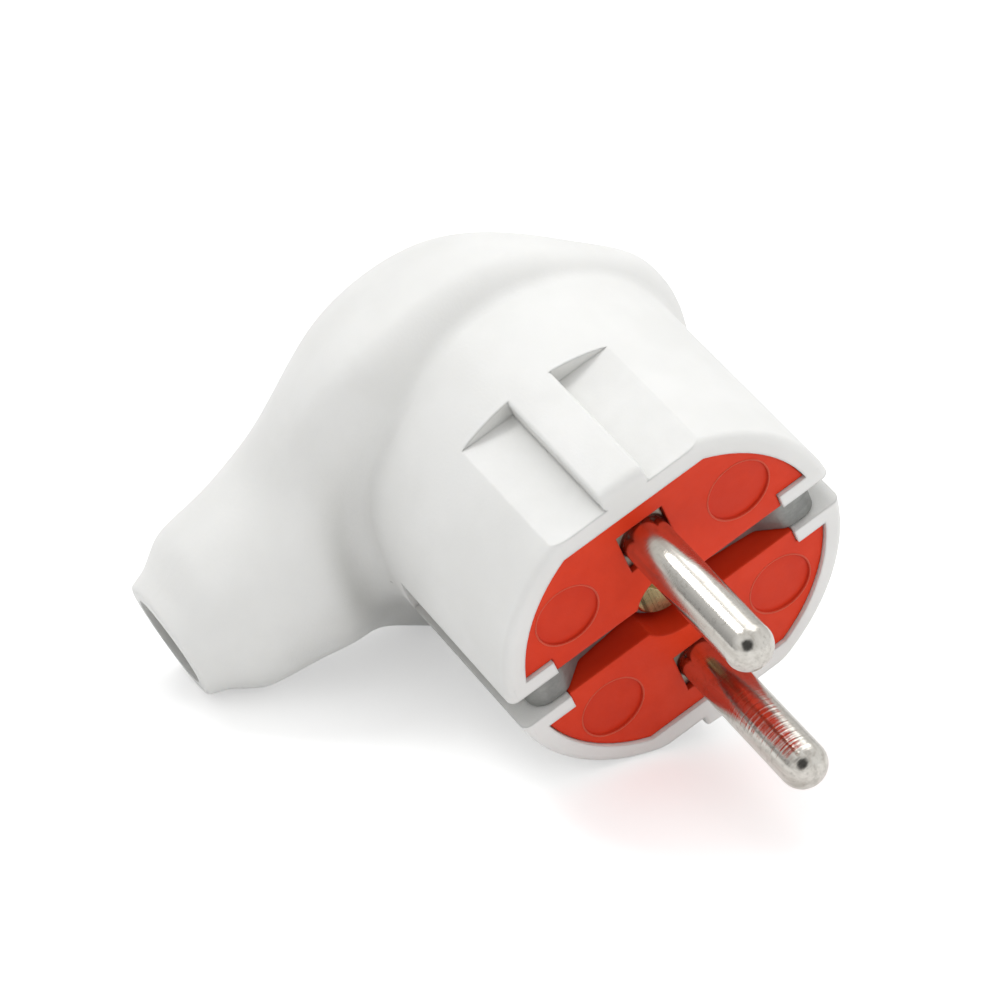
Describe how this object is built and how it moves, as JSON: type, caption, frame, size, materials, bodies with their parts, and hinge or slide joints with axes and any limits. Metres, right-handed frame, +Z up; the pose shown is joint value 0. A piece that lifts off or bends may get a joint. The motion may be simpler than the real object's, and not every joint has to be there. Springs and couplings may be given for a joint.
{
  "type": "angled plug",
  "caption": "Angled earthed mains plug with a soft white hood, a red contact carrier, round nickel pins and an earth strap.",
  "frame": {"origin": "centre of the carrier's face, midway between the two pins", "axes": "the plug lies on a table as it comes to rest: +Z is up from the table, +X points the way the pins point, which dip 9.36 degrees below it, and the cable nozzle points to -Y and down"},
  "size_m": [0.0679, 0.057, 0.0431],
  "materials": {
    "hood_pvc": "satin",
    "carrier_plastic": "satin",
    "nickel": "polished",
    "zinc": "satin",
    "screw_brass": "satin"
  },
  "bodies": {
    "root": {"hood": "hood_pvc", "contact_carrier": "carrier_plastic", "upper_pin": "nickel", "lower_pin": "nickel", "earth_strap": "zinc", "centre_screw": "screw_brass", "earth_nut": "zinc", "upper_terminal_screw": "screw_brass", "lower_terminal_screw": "screw_brass", "cord_clamp": "carrier_plastic", "cord_clamp_screws": "zinc"}
  },
  "joints": []
}
